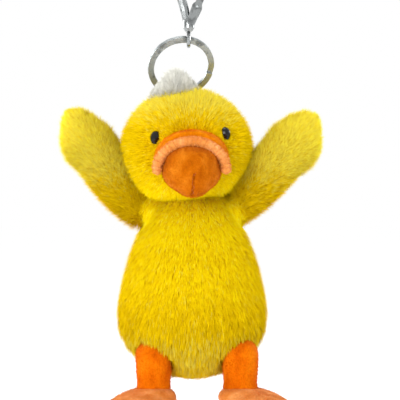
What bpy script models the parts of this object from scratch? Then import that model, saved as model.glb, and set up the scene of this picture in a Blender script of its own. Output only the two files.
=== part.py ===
"""Plush duck keychain: a lobster clasp with a swivel eye, a split ring, a ribbon loop and a stuffed duck.

Units are metres and +Z is up. The duck faces -Y and +X is on its left hand, to the right of someone who
looks at its face. The origin is the seat of the hook: the inner top of the clasp, where it hangs.
"""

import math

import bmesh
import bpy
from mathutils import Matrix, Vector

GAP = 0.0003                      # clearance between pieces that touch
FINE_MERGE = 0.00005
THROUGH = 0.004                   # how far a hole's cutter reaches past the middle of what it drills

# Clasp, from the seat of the hook down to the swivel
HOOK_WIRE_R = 0.0013
SPINE_FOOT_R = 0.0017
HOOK_HALF_WIDTH = 0.0056
COLLAR_TOP_Z = -0.0226
COLLAR_FOOT_Z = -0.0276
COLLAR_R = 0.0021
PIVOT = Vector((0.0026, 0.0, -0.0186))
LUG_R = 0.0019
LUG_HALF_THICK = 0.0023
SLOT_HALF_WIDTH = 0.0015
SLOT_LOW = (0.0004, -0.0223)      # the slot's corners, as (x, z)
SLOT_HIGH = (0.0080, -0.0140)
PIN_R = 0.00055
PIN_FIT = 0.00005
GATE_HUB_R = 0.0014
GATE_HALF_THICK = 0.0008
GATE_Y = -0.0005                  # the gate sits to one side of the slot and its spring to the other
SPRING_WIRE_R = 0.00011
SPRING_Y = 0.00062
SPRING_RISE = 0.0003

# Swivel eye and split ring
SWIVEL_X = -0.0005
EYE_CENTRE = Vector((SWIVEL_X, 0.0, -0.0306))
EYE_RING_R = 0.00245
EYE_WIRE_R = 0.0007
POST_R = 0.0006
POST_HEAD_R = 0.00105
RING_OUTER_R = 0.0125
RING_BAND = 0.0022
STRIP_THICK = 0.0007
STRIP_STEP = 0.0008               # from the middle of one turn to the middle of the next
RING_LEAN = math.radians(35)      # how far the ring's plane leans back from upright
RING_ROLL = math.radians(17.6)    # how far the axis of that lean rises above level
RING_HANG = math.radians(60.5)    # place of the eye on the ring, from the lean axis
SPLIT_ANGLE = math.radians(-8)    # place of the split on the ring
SPLIT_GAP = math.radians(26)

# Duck: firm surfaces, with 2.5 mm of loose pile left outside the furry ones
PLUSH_Y = 0.00157                 # fore-and-aft place of the duck under its hanging point
SKIN = 0.0018
VELBOA = 0.0012
HEAD = Vector((-0.0013, PLUSH_Y, -0.0715))
HEAD_R = Vector((0.0206, 0.0200, 0.0190))
HEAD_MESH = (24, 15)              # segments round and down
BODY = Vector((0.0008, PLUSH_Y + 0.0005, -0.11675))
BODY_R = Vector((0.02475, 0.0205, 0.03675))
BODY_PEAR = 0.3626                # how much wider the foot of the body is than its neck
BODY_POWER = 2.4
WING_HALF_WIDTH = 0.0086
WING_HALF_DEPTH = 0.0064
LEG_R = 0.0069
HIP_Y = PLUSH_Y - 0.0110
HIP_Z = -0.1465
ANKLE_Z = -0.1584
SOLE_Z = -0.1700
SOLE_THICK = 0.0012
BILL = Vector((0.0007, PLUSH_Y - 0.0240, -0.0795))
BILL_R = Vector((0.0109, 0.0122, 0.0083))
RIM_R = 0.0018
RIBBON_THICK = 0.0006
RIBBON_WIDTH = 0.0030
RIBBON_INNER_R = 0.0020

COLOURS = {
    "chrome": ((0.56, 0.57, 0.57), 0.18, 1.0),
    "ring_steel": ((0.44, 0.46, 0.46), 0.30, 1.0),
    "yellow_fur": ((0.82, 0.62, 0.02), 0.95, 0.0),
    "orange_velboa": ((0.85, 0.24, 0.01), 0.85, 0.0),
    "peach_velboa": ((0.82, 0.34, 0.14), 0.85, 0.0),
    "white_fur": ((0.72, 0.72, 0.68), 0.95, 0.0),
    "ribbon": ((0.80, 0.80, 0.76), 0.80, 0.0),
    "filling": ((0.86, 0.86, 0.84), 0.95, 0.0),
    "black_gloss": ((0.01, 0.01, 0.01), 0.12, 0.0),
    "clear_plastic": ((0.75, 0.75, 0.72), 0.40, 0.0),
}


# ---------------------------------------------------------------- scene, collections and materials

for old in list(bpy.data.objects):
    bpy.data.objects.remove(old, do_unlink=True)

parts = bpy.data.collections.new("plush_keychain")
cutters = bpy.data.collections.new("cutters")
bpy.context.scene.collection.children.link(parts)
bpy.context.scene.collection.children.link(cutters)


def material(name):
    """The named Principled material, made on first use."""
    found = bpy.data.materials.get(name)
    if found:
        return found
    colour, roughness, metallic = COLOURS[name]
    made = bpy.data.materials.new(name)
    made.use_nodes = True
    shader = made.node_tree.nodes["Principled BSDF"]
    shader.inputs["Base Color"].default_value = (*colour, 1.0)
    shader.inputs["Roughness"].default_value = roughness
    shader.inputs["Metallic"].default_value = metallic
    return made


def link_object(name, data, finish=None):
    """A new object: a part when it has a finish, or a hidden cutter when it has none."""
    made = bpy.data.objects.new(name, data)
    if finish:
        parts.objects.link(made)
        data.materials.append(material(finish))
    else:
        cutters.objects.link(made)
        made.hide_render = True
        made.display_type = "WIRE"
    return made


def from_bmesh(name, shape, finish=None, smooth=True):
    """An object from a bmesh, with its faces turned outwards."""
    bmesh.ops.recalc_face_normals(shape, faces=shape.faces)
    mesh = bpy.data.meshes.new(name)
    shape.to_mesh(mesh)
    shape.free()
    if smooth:
        mesh.shade_smooth()
    return link_object(name, mesh, finish)


def settle(made):
    """Applies the modifiers, so that the object can be cut or joined as a plain mesh."""
    bpy.context.view_layer.update()
    view = bpy.context.evaluated_depsgraph_get()
    mesh = bpy.data.meshes.new_from_object(made.evaluated_get(view))
    made.modifiers.clear()
    made.data = mesh
    return made


def curve_to_mesh(made, name, finish=None):
    """A mesh object in place of a curve, with its caps welded."""
    bpy.context.view_layer.update()
    view = bpy.context.evaluated_depsgraph_get()
    mesh = bpy.data.meshes.new_from_object(made.evaluated_get(view))
    place = made.matrix_world.copy()
    bpy.data.objects.remove(made, do_unlink=True)
    shape = bmesh.new()
    shape.from_mesh(mesh)
    bmesh.ops.remove_doubles(shape, verts=shape.verts, dist=FINE_MERGE)
    shape.transform(place)
    return from_bmesh(name, shape, finish)


def combine(made, other, operation):
    """Adds or cuts one solid with another, applied at once."""
    step = made.modifiers.new(operation.lower(), "BOOLEAN")
    step.operation = operation
    step.solver = "EXACT"
    step.object = other
    settle(made)


def cut(made, *tools):
    for tool in tools:
        combine(made, tool, "DIFFERENCE")


def join(made, *others):
    for other in others:
        combine(made, other, "UNION")
        bpy.data.objects.remove(other, do_unlink=True)


def thicken(made, thickness):
    """Turns an open surface into a shell whose outer face is the surface itself."""
    step = made.modifiers.new("thickness", "SOLIDIFY")
    step.thickness = thickness
    step.offset = -1.0
    step.use_even_offset = True
    settle(made)


def pivot_empty(name, place, parent=None):
    """An empty on a joint's axis, under the empty of the body that carries it."""
    made = bpy.data.objects.new(name, None)
    cutters.objects.link(made)
    made.empty_display_size = 0.004
    made.location = place - (parent.matrix_world.translation if parent else Vector())
    made.parent = parent
    bpy.context.view_layer.update()
    return made


def carry(empty, *pieces):
    """Hangs pieces on an empty without moving them."""
    for piece in pieces:
        piece.parent = empty
        piece.matrix_parent_inverse = empty.matrix_world.inverted()


# ---------------------------------------------------------------- basic shapes

def box(name, low, high, finish=None):
    low, high = Vector(low), Vector(high)
    shape = bmesh.new()
    bmesh.ops.create_cube(shape, size=1.0)
    middle, size = (low + high) / 2, high - low
    for v in shape.verts:
        v.co = Vector(c * s + m for c, s, m in zip(v.co, size, middle))
    return from_bmesh(name, shape, finish, smooth=False)


def rod(name, start, end, radius, sides=16, finish=None):
    """A cylinder between two points."""
    start, end = Vector(start), Vector(end)
    shape = bmesh.new()
    turn = (end - start).to_track_quat("Z", "Y").to_matrix().to_4x4()
    place = Matrix.Translation((start + end) / 2) @ turn
    bmesh.ops.create_cone(
        shape, cap_ends=True, segments=sides, radius1=radius, radius2=radius,
        depth=(end - start).length, matrix=place)
    return from_bmesh(name, shape, finish)


def warped_ball(name, warp, across=24, along=16, finish=None, keep=None, shrink=0.0):
    """A unit ball whose points are moved by a function, and then inwards by shrink; keep says which points
    stay in an open surface."""
    shape = bmesh.new()
    bmesh.ops.create_uvsphere(shape, u_segments=across, v_segments=along, radius=1.0)
    if keep:
        gone = [v for v in shape.verts if not keep(v.co)]
        bmesh.ops.delete(shape, geom=gone, context="VERTS")
    for v in shape.verts:
        v.co = warp(v.co.copy())
    bmesh.ops.recalc_face_normals(shape, faces=shape.faces)
    shape.normal_update()
    moved = [v.co - v.normal * shrink for v in shape.verts]
    for v, place in zip(shape.verts, moved):
        v.co = place
    mesh = bpy.data.meshes.new(name)
    shape.to_mesh(mesh)
    shape.free()
    mesh.shade_smooth()
    return link_object(name, mesh, finish)


def ellipsoid_warp(centre, radii, inset=0.0):
    size = Vector(r - inset for r in radii)
    return lambda p: centre + Vector(c * s for c, s in zip(p, size))


def egg_warp(inset=0.0):
    """The body: a ball drawn out along Z, fuller at its foot than at its neck."""
    def warp(p):
        across = math.hypot(p.x, p.y)
        full = max(1.0 - abs(p.z) ** BODY_POWER, 0.0) ** 0.5 * (1.0 - BODY_PEAR * p.z)
        scale = full / across if across > 1e-6 else 0.0
        return BODY + Vector((
            p.x * scale * (BODY_R.x - inset),
            p.y * scale * (BODY_R.y - inset),
            p.z * (BODY_R.z - inset)))
    return warp


def tube(name, points, radii, finish=None, sides=2, smoothness=4):
    """A rod of changing thickness along a smooth path, as a mesh."""
    data = bpy.data.curves.new(name, "CURVE")
    data.dimensions = "3D"
    data.bevel_depth = 1.0
    data.bevel_resolution = sides
    data.use_fill_caps = True
    data.resolution_u = smoothness
    line = data.splines.new("BEZIER")
    line.bezier_points.add(len(points) - 1)
    for knot, place, radius in zip(line.bezier_points, points, radii):
        knot.co = place
        knot.radius = radius
        knot.handle_left_type = "AUTO"
        knot.handle_right_type = "AUTO"
    made = bpy.data.objects.new(name, data)
    parts.objects.link(made)
    return curve_to_mesh(made, name, finish)


def turned(name, profile, axis_at, steps=24, finish=None):
    """A turned solid or surface: the profile is (radius, z) from top to bottom."""
    mesh = bpy.data.meshes.new(name)
    points = [(r, 0.0, z) for r, z in profile]
    mesh.from_pydata(points, [(i, i + 1) for i in range(len(points) - 1)], [])
    made = link_object(name, mesh, finish)
    made.location = axis_at
    step = made.modifiers.new("turn", "SCREW")
    step.steps = steps
    step.render_steps = steps
    step.use_merge_vertices = True
    step.merge_threshold = FINE_MERGE
    step.use_smooth_shade = True
    return settle(made)


def plate(name, outline, half_thick, finish=None):
    """A flat piece in the XZ plane, centred on Y = 0."""
    data = bpy.data.curves.new(name, "CURVE")
    data.dimensions = "2D"
    data.fill_mode = "BOTH"
    data.extrude = half_thick
    line = data.splines.new("POLY")
    line.points.add(len(outline) - 1)
    for knot, (x, z) in zip(line.points, outline):
        knot.co = (x, z, 0.0, 1.0)
    line.use_cyclic_u = True
    made = bpy.data.objects.new(name, data)
    parts.objects.link(made)
    made.rotation_euler = (math.radians(90), 0.0, 0.0)
    return curve_to_mesh(made, name, finish)


def arc(centre, radius, start, end, steps):
    """Points (x, z) along an arc, with angles in degrees."""
    angles = [math.radians(start + (end - start) * i / steps) for i in range(steps + 1)]
    return [(centre[0] + radius * math.cos(a), centre[1] + radius * math.sin(a)) for a in angles]


# ---------------------------------------------------------------- clasp

def cross_hole(name, radius):
    """A cutter for a hole along Y through the gate's pivot."""
    return rod(name, PIVOT - Vector((0, THROUGH, 0)), PIVOT + Vector((0, THROUGH, 0)), radius)


def make_clasp_body():
    """The hook: a tapered spine up the left, round the top and down to the nose, with a forked lug."""
    w = HOOK_HALF_WIDTH
    path = [(-0.0012, -0.0246), (-0.0019, -0.0200), (-0.0032, -0.0155), (-0.0052, -0.0092),
            (-w, -0.0045), (-0.0040, -0.0004), (0.0, HOOK_WIRE_R), (0.0040, -0.0004),
            (w, -0.0040)]
    radii = [0.0013, SPINE_FOOT_R, SPINE_FOOT_R, 0.0015,
             HOOK_WIRE_R, HOOK_WIRE_R, HOOK_WIRE_R, HOOK_WIRE_R, 0.0012]
    body = tube("clasp_body", [(x, 0.0, z) for x, z in path], radii, "chrome", sides=3)
    lug_foot = [(-0.0012, -0.0236), (-0.0008, -0.0252), (0.0016, -0.0252)]
    lug_outline = arc((PIVOT.x, PIVOT.z), LUG_R, -25, 170, 10) + lug_foot
    lug = plate("lug", lug_outline, LUG_HALF_THICK, "chrome")
    collar = turned("collar", [
        (0.0, COLLAR_TOP_Z), (COLLAR_R - 0.0005, COLLAR_TOP_Z), (COLLAR_R, COLLAR_TOP_Z - 0.0008),
        (COLLAR_R, COLLAR_FOOT_Z + 0.0014), (COLLAR_R - 0.0008, COLLAR_FOOT_Z), (0.0, COLLAR_FOOT_Z),
    ], (SWIVEL_X, 0.0, 0.0), 20, "chrome")
    join(body, lug, collar)
    slot = box("cut_slot", (SLOT_LOW[0], -SLOT_HALF_WIDTH, SLOT_LOW[1]),
               (SLOT_HIGH[0], SLOT_HALF_WIDTH, SLOT_HIGH[1]))
    shoulder_z = COLLAR_FOOT_Z + 0.0022
    bore = rod("cut_bore", (SWIVEL_X, 0, COLLAR_FOOT_Z - 0.0024), (SWIVEL_X, 0, shoulder_z + 0.0014),
               POST_R + GAP)
    counterbore = rod("cut_counterbore", (SWIVEL_X, 0, shoulder_z), (SWIVEL_X, 0, COLLAR_TOP_Z + 0.0008),
                      POST_HEAD_R + GAP)
    pin_hole = cross_hole("cut_pin_hole", PIN_R + PIN_FIT)
    cut(body, slot, bore, counterbore, pin_hole)
    return body


def make_gate():
    """The sprung lever: hub on the pin, arm up to the nose of the hook, thumb tab on its outer side."""
    outline = arc((PIVOT.x, PIVOT.z), GATE_HUB_R, 165, 345, 10) + [
        (0.0052, -0.0158), (0.0066, -0.0154), (0.0069, -0.0146), (0.0056, -0.0140),
        (0.0069, -0.0060), (0.0067, -0.0050), (0.0049, -0.0047), (0.0046, -0.0058),
        (0.0034, -0.0140)]
    gate = plate("clasp_gate", outline, GATE_HALF_THICK, "chrome")
    gate.data.transform(Matrix.Translation((0, GATE_Y, 0)))
    cut(gate, cross_hole("cut_gate_bore", PIN_R + GAP))
    return gate


def make_pin():
    """The rivet through the lug: pressed in both cheeks, a running fit in the gate."""
    half = Vector((0, LUG_HALF_THICK, 0))
    return rod("gate_pin", PIVOT - half, PIVOT + half, PIN_R - PIN_FIT, 16, "chrome")


def make_spring():
    """A torsion spring of just over one turn on the pin, beside the gate's hub: one leg lies along the
    gate and the other reaches down to the floor of the lug."""
    steps = 14
    radius = PIN_R + 0.00045
    leg_up = Vector((0.26, 0.0, 0.966)) * 0.0024
    leg_down = Vector((0.25, 0.0, -0.968)) * 0.0018
    points = []
    for i in range(steps + 2):
        a = math.radians(165) + 2 * math.pi * i / steps
        coil = Vector((math.cos(a) * radius, SPRING_Y + SPRING_RISE * i / steps, math.sin(a) * radius))
        points.append(PIVOT + coil)
    points = [points[0] + leg_up] + points + [points[-1] + leg_down]
    data = bpy.data.curves.new("gate_spring", "CURVE")
    data.dimensions = "3D"
    data.bevel_depth = SPRING_WIRE_R
    data.bevel_resolution = 2
    data.use_fill_caps = True
    line = data.splines.new("POLY")
    line.points.add(len(points) - 1)
    for knot, place in zip(line.points, points):
        knot.co = (*place, 1.0)
    made = bpy.data.objects.new("gate_spring", data)
    parts.objects.link(made)
    return curve_to_mesh(made, "gate_spring", "chrome")


def make_swivel_eye():
    """A headed post that turns in the collar, with the eye for the split ring below it."""
    top = EYE_CENTRE.z + EYE_RING_R
    eye = turned("swivel_eye", [
        (0.0, -0.0243), (POST_HEAD_R - 0.0002, -0.0243), (POST_HEAD_R, -0.0245),
        (POST_HEAD_R, -0.0250), (POST_R, -0.0251), (POST_R, -0.0278),
        (POST_R + 0.0004, -0.0280), (POST_R + 0.0004, top - 0.0002), (0.0, top - 0.0004),
    ], (SWIVEL_X, 0.0, 0.0), 16, "chrome")
    bpy.ops.mesh.primitive_torus_add(
        major_radius=EYE_RING_R, minor_radius=EYE_WIRE_R, major_segments=22, minor_segments=8,
        location=EYE_CENTRE, rotation=(0.0, math.radians(90), 0.0))
    loop = bpy.context.object
    join(eye, loop)
    return eye


# ---------------------------------------------------------------- split ring and ribbon loop

LEAN_AXIS = Vector((math.cos(RING_ROLL), 0.0, math.sin(RING_ROLL)))
RING_UP = Vector((
    -math.sin(RING_ROLL) * math.cos(RING_LEAN),
    -math.sin(RING_LEAN),
    math.cos(RING_ROLL) * math.cos(RING_LEAN)))
RING_NORMAL = LEAN_AXIS.cross(RING_UP)
RING_MID_R = RING_OUTER_R - RING_BAND / 2


def on_ring(angle, radius, lift=0.0):
    """A point on the ring's plane: the angle runs from the lean axis towards the upper side."""
    return (LEAN_AXIS * math.cos(angle) + RING_UP * math.sin(angle)) * radius + RING_NORMAL * lift


RING_CENTRE = EYE_CENTRE - on_ring(RING_HANG, RING_MID_R)
LOOP_AT = RING_CENTRE - on_ring(RING_HANG, RING_MID_R)


def make_split_ring():
    """Flat strip wound twice round, stepping from one layer to the other at the split."""
    shape = bmesh.new()
    total = 4 * math.pi - SPLIT_GAP
    steps = 76
    half_band, half_strip = RING_BAND / 2, STRIP_THICK / 2
    sections = []
    for i in range(steps + 1):
        run = total * i / steps
        step_from, step_to = 2 * math.pi - SPLIT_GAP, 2 * math.pi
        share = min(max((run - step_from) / (step_to - step_from), 0.0), 1.0)
        layer = (share * share * (3 - 2 * share) - 0.5) * STRIP_STEP
        angle = SPLIT_ANGLE + run
        corners = [(-half_band, -half_strip), (half_band, -half_strip),
                   (half_band, half_strip), (-half_band, half_strip)]
        sections.append([
            shape.verts.new(RING_CENTRE + on_ring(angle, RING_MID_R + r, layer + h)) for r, h in corners])
    for one, two in zip(sections, sections[1:]):
        for j in range(4):
            shape.faces.new((one[j], one[(j + 1) % 4], two[(j + 1) % 4], two[j]))
    shape.faces.new(sections[0])
    shape.faces.new(sections[-1][::-1])
    ring = from_bmesh("split_ring", shape, "ring_steel")
    ring.data.set_sharp_from_angle(angle=math.radians(40))
    return ring


RIBBON_FOOT_Z = -0.0606
SEAM_HALF_DEPTH = 0.0023
RIBBON_MID_R = RIBBON_INNER_R + RIBBON_THICK / 2


def ribbon_path():
    """The strip's middle line, as (y, z) from LOOP_AT: up one leg, over the ring and down the other."""
    foot = RIBBON_FOOT_Z - LOOP_AT.z
    over = arc((0.0, 0.0), RIBBON_MID_R, 0, 180, 10)
    return [(0.0011, foot), (0.0012, foot * 0.55)] + over + [(-0.0012, foot * 0.55), (-0.0011, foot)]


def make_ribbon_loop():
    """A folded ribbon that holds the ring, with both legs sewn into the crown seam."""
    shape = bmesh.new()
    rows = []
    for y, z in ribbon_path():
        rows.append([shape.verts.new(LOOP_AT + Vector((x, y, z)))
                     for x in (-RIBBON_WIDTH / 2, 0.0, RIBBON_WIDTH / 2)])
    for one, two in zip(rows, rows[1:]):
        for j in range(2):
            shape.faces.new((one[j], one[j + 1], two[j + 1], two[j]))
    ribbon = from_bmesh("ribbon_loop", shape, "ribbon")
    step = ribbon.modifiers.new("thickness", "SOLIDIFY")
    step.thickness = RIBBON_THICK
    step.offset = 0.0
    return settle(ribbon)


# ---------------------------------------------------------------- duck

def cutter_ball(name, centre, radius):
    return warped_ball(name, ellipsoid_warp(Vector(centre), Vector((radius,) * 3)), 16, 10)


def head_clearance(name):
    """The head's own outline with a gap round it, for what sits on the head."""
    return warped_ball(name, ellipsoid_warp(HEAD, HEAD_R, -GAP), *HEAD_MESH)


def head_surface(x, z):
    """The point of the head's front surface at x, z, and the outward normal there."""
    dx, dz = x - HEAD.x, z - HEAD.z
    depth = HEAD_R.y * math.sqrt(1 - (dx / HEAD_R.x) ** 2 - (dz / HEAD_R.z) ** 2)
    normal = Vector((dx / HEAD_R.x ** 2, -depth / HEAD_R.y ** 2, dz / HEAD_R.z ** 2)).normalized()
    return Vector((x, HEAD.y - depth, z)), normal


EYES = {
    "left": (0.0124, -0.0660),
    "right": (-0.0121, -0.0675),
}
EYE_HALF_W = 0.0019
EYE_HALF_H = 0.0026
EYE_DOME = 0.0022
EYE_LIFT = 0.0005
EYE_BACK = 0.0001                 # the dome's slightly rounded back, as thick as this
STEM_R = 0.0009
WASHER_R = 0.0032
WASHER_THICK = 0.0008
STEM_LENGTH = SKIN + 3 * GAP + WASHER_THICK + 0.0012


def make_eye(side):
    """A moulded safety eye: an oval dome on a straight stem."""
    place, normal = head_surface(*EYES[side])
    turn = normal.to_track_quat("Z", "Y").to_matrix()
    base = place + normal * EYE_LIFT

    def warp(p):
        height = p.z * (EYE_DOME if p.z > 0 else EYE_BACK)
        return base + turn @ Vector((p.x * EYE_HALF_W, p.y * EYE_HALF_H, height))

    eye = warped_ball(f"{side}_eye", warp, 14, 8, "black_gloss")
    stem = rod("stem", base + normal * EYE_DOME / 5, base - normal * STEM_LENGTH, STEM_R, 12, "black_gloss")
    join(eye, stem)
    return eye


def make_washer(side):
    """The locking washer pressed on the stem behind the fur fabric."""
    place, normal = head_surface(*EYES[side])
    near = place - normal * (SKIN + 2 * GAP)
    washer = rod(f"{side}_eye_washer", near, near - normal * WASHER_THICK, WASHER_R, 18, "clear_plastic")
    hole = rod(f"cut_{side}_washer", near + normal * THROUGH / 2, near - normal * THROUGH,
               STEM_R + GAP / 2, 12)
    cut(washer, hole)
    return washer


NECK_OPEN = -0.96                 # the head's shell is open at the neck, below this height of its unit ball


def make_head():
    skin = warped_ball("head_skin", ellipsoid_warp(HEAD, HEAD_R), *HEAD_MESH, "yellow_fur",
                       keep=lambda p: p.z > NECK_OPEN)
    thicken(skin, SKIN)
    filling = warped_ball("head_stuffing", ellipsoid_warp(HEAD, HEAD_R, SKIN + 2 * GAP), 18, 12, "filling")
    half_seam = Vector((RIBBON_WIDTH / 2 + GAP, SEAM_HALF_DEPTH, 0.0))
    seam_depth = Vector((0.0, 0.0, LOOP_AT.z - RIBBON_FOOT_Z + GAP))
    seam_top = Vector((0.0, 0.0, THROUGH / 2))
    seam = box("cut_crown_seam", LOOP_AT - half_seam - seam_depth, LOOP_AT + half_seam + seam_top)
    cut(skin, seam)
    cut(filling, seam)
    for side in EYES:
        place, normal = head_surface(*EYES[side])
        reach = normal * THROUGH
        hole = rod(f"cut_{side}_eye_hole", place + reach, place - reach, STEM_R + GAP, 12)
        pocket = rod(f"cut_{side}_eye_pocket", place + reach / 4, place - normal * (STEM_LENGTH + 2.5 * GAP),
                     WASHER_R + GAP, 18)
        cut(skin, hole)
        cut(filling, pocket)
    return skin, filling


HIP_CLEARANCE = {"skin": 0.0006, "filling": 0.0010}
PATH_STEPS = 3
PATH_REACH = 0.0200
PATH_GROWTH = 0.00007             # each path is a little wider than the last, so that no two faces coincide


def hip_cutters(layer):
    """The room each leg needs in the belly: a ball at the hip and the leg's path as it swings forward."""
    room = LEG_R + HIP_CLEARANCE[layer]
    made = []
    for side, x in LEG_X.items():
        hip = Vector((x, HIP_Y, HIP_Z))
        made.append(cutter_ball(f"cut_{side}_hip", hip, room))
        for step in range(PATH_STEPS):
            a = math.radians(LEG_SWING * step / (PATH_STEPS - 1))
            reach = Vector((0.0, -math.sin(a), -math.cos(a)))
            start = hip - reach * (0.0005 + GAP * step)
            radius = room + PATH_GROWTH * (step + 1)
            end = hip + reach * PATH_REACH
            made.append(rod(f"cut_{side}_leg_path_{step}", start, end, radius, 27 + step))
    return made


def make_body():
    head_room = head_clearance("cut_head_room")
    outer = warped_ball("body_skin", egg_warp(), 24, 16, "yellow_fur")
    hollow = warped_ball("cut_body_hollow", egg_warp(SKIN), 24, 16)
    cut(outer, hollow, head_room, *hip_cutters("skin"))
    filling = warped_ball("body_stuffing", egg_warp(SKIN + 2 * GAP), 20, 13, "filling")
    cut(filling, head_room, *hip_cutters("filling"))
    return outer, filling


# Wings: shoulder end, bend and tip of each centre line, as (x, z)
WINGS = {
    "right": ((-0.0200, -0.0999), (-0.0298, -0.0845), (-0.0398, -0.0577)),
    "left": ((0.0222, -0.0997), (0.0290, -0.0840), (0.0458, -0.0592)),
}
SHOULDER = {"right": Vector((-0.0215, PLUSH_Y, -0.0955)), "left": Vector((0.0234, PLUSH_Y, -0.0955))}
WING_POWER = 2.2
WING_SWELL = 0.22                 # how much fuller the tip is than the shoulder
WING_OPEN = -0.93                 # the shell is open at the shoulder, below this height of its unit ball


def wing_warp(side):
    """A mitten on a bent centre line, slimmer at the shoulder than at the tip."""
    start, bend, tip = (Vector(p) for p in WINGS[side])

    def warp(p):
        u = (1.0 + p.z) / 2
        line = (1 - u) ** 2 * start + 2 * u * (1 - u) * bend + u * u * tip
        along = (2 * (1 - u) * (bend - start) + 2 * u * (tip - bend)).normalized()
        across = math.hypot(p.x, p.y)
        full = max(1.0 - abs(p.z) ** WING_POWER, 0.0) ** 0.5 * (1.0 + WING_SWELL * p.z)
        scale = full / across if across > 1e-6 else 0.0
        side_step = p.x * scale * WING_HALF_WIDTH
        return Vector((
            line.x + along.y * side_step,
            PLUSH_Y + p.y * scale * WING_HALF_DEPTH,
            line.y - along.x * side_step))
    return warp


def make_wing(side):
    skin = warped_ball(f"{side}_wing_skin", wing_warp(side), 16, 12, "yellow_fur",
                       keep=lambda p: p.z > WING_OPEN)
    thicken(skin, SKIN)
    filling = warped_ball(f"{side}_wing_stuffing", wing_warp(side), 16, 12, "filling",
                          shrink=SKIN + 2 * GAP)
    return skin, filling


LEG_X = {"right": -0.0132, "left": 0.0184}
LEG_SWING = 56                    # degrees forward
FOOT_TURN = {"right": math.radians(-20), "left": math.radians(22)}
FOOT_SHIFT = {"right": -0.0028, "left": 0.0042}
FOOT_HALF_WIDTH = 0.0118
FOOT_TOE = 0.0215
FOOT_HEEL = 0.0085
FOOT_TOP_Z = -0.1592
FOOT_LOBES = 0.05                 # depth of the scallops between the toes
FOOT_SPREAD = 0.28
FOOT_SAG = 0.35
ANKLE_R = 0.0062


def leg_profile(inset):
    """Radius and height from the crown of the hip to the ankle."""
    radius = LEG_R - inset
    crown = [(radius * math.sin(math.radians(a)), HIP_Z + radius * math.cos(math.radians(a)))
             for a in range(0, 91, 18)]
    return crown + [(radius - 0.0002, -0.1520), (ANKLE_R - inset + 0.0001, -0.1560)]


def make_leg(side):
    axis_at = (LEG_X[side], HIP_Y, 0.0)
    skin = turned(f"{side}_leg_skin", leg_profile(0.0) + [(ANKLE_R, ANKLE_Z)], axis_at, 18,
                  "orange_velboa")
    thicken(skin, VELBOA)
    inner = VELBOA + 2 * GAP
    filling = turned(f"{side}_leg_stuffing",
                     leg_profile(inner) + [(ANKLE_R - inner, ANKLE_Z), (0.0, ANKLE_Z)],
                     axis_at, 12, "filling")
    return skin, filling


def foot_warp(side, inset, top, floor):
    """A webbed foot: highest over the ankle, three soft toes to the front, flat underneath."""
    turn = Matrix.Rotation(FOOT_TURN[side], 3, "Z")
    centre = Vector((LEG_X[side], HIP_Y, 0.0))

    def warp(p):
        angle = math.atan2(p.x, -p.y)
        front = max(math.cos(angle), 0.0)
        lobes = 1.0 + FOOT_LOBES * front * math.cos(angle * 5.2)
        spread = 1.0 + FOOT_SPREAD * max(-p.y, 0.0)
        reach = (FOOT_TOE if p.y < 0 else FOOT_HEEL) - inset
        flat = Vector((p.x * (FOOT_HALF_WIDTH - inset) * lobes * spread, p.y * reach * lobes, 0.0))
        outward = FOOT_SHIFT[side] * min(math.hypot(p.x, p.y) * 1.2, 1.0)
        place = centre + turn @ flat + Vector((outward, 0.0, 0.0))
        sag = FOOT_SAG * front * math.hypot(p.x, p.y)
        place.z = floor + (top - floor) * max(p.z, 0.0) ** 0.8 * (1.0 - sag)
        return place
    return warp


def make_foot(side):
    floor = SOLE_Z + SOLE_THICK + GAP
    upper = warped_ball(f"{side}_foot_upper", foot_warp(side, 0.0, FOOT_TOP_Z, floor), 20, 12,
                        "peach_velboa", keep=lambda p: p.z > -0.01)
    thicken(upper, VELBOA)
    ankle_hole = rod(f"cut_{side}_ankle", (LEG_X[side], HIP_Y, -0.1575), (LEG_X[side], HIP_Y, -0.1625),
                     ANKLE_R - VELBOA, 20)
    leg_room = rod(f"cut_{side}_leg_room", (LEG_X[side], HIP_Y, -0.1500),
                   (LEG_X[side], HIP_Y, ANKLE_Z - GAP), ANKLE_R + 0.0010, 20)
    cut(upper, ankle_hole, leg_room)
    inner = VELBOA + 2 * GAP
    filling = warped_ball(f"{side}_foot_stuffing",
                          foot_warp(side, inner, FOOT_TOP_Z - inner, floor), 20, 12, "filling",
                          keep=lambda p: p.z > -0.01)
    shape = bmesh.new()
    shape.from_mesh(filling.data)
    rim = [e for e in shape.edges if e.is_boundary]
    bmesh.ops.edgeloop_fill(shape, edges=rim)
    bmesh.ops.recalc_face_normals(shape, faces=shape.faces)
    shape.to_mesh(filling.data)
    shape.free()
    cut(filling, leg_room)

    warp = foot_warp(side, 0.0, SOLE_Z + SOLE_THICK, SOLE_Z)
    outline = [warp(Vector((math.sin(a), -math.cos(a), 0.0)))
               for a in (2 * math.pi * i / 30 for i in range(30))]
    shape = bmesh.new()
    face = shape.faces.new([shape.verts.new((p.x, p.y, SOLE_Z)) for p in outline])
    raised = bmesh.ops.extrude_face_region(shape, geom=[face])
    for v in (g for g in raised["geom"] if isinstance(g, bmesh.types.BMVert)):
        v.co.z = SOLE_Z + SOLE_THICK
    sole = from_bmesh(f"{side}_foot_sole", shape, "peach_velboa", smooth=False)
    return upper, filling, sole


LIP_STEPS = 8
LIP_HALF_SPAN = 94                # degrees from the top of the arch to each end
LIP_SNUG = 0.95                   # the arch's size against the outline of the lower bill and the lip itself
LIP_FORWARD = 0.27
PAD_RISE = Vector((0.0, 0.0050, 0.0048))
PAD_R = Vector((0.0136, 0.0130, 0.0106))
FAR = 0.03                        # beyond the bill on every side


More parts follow.
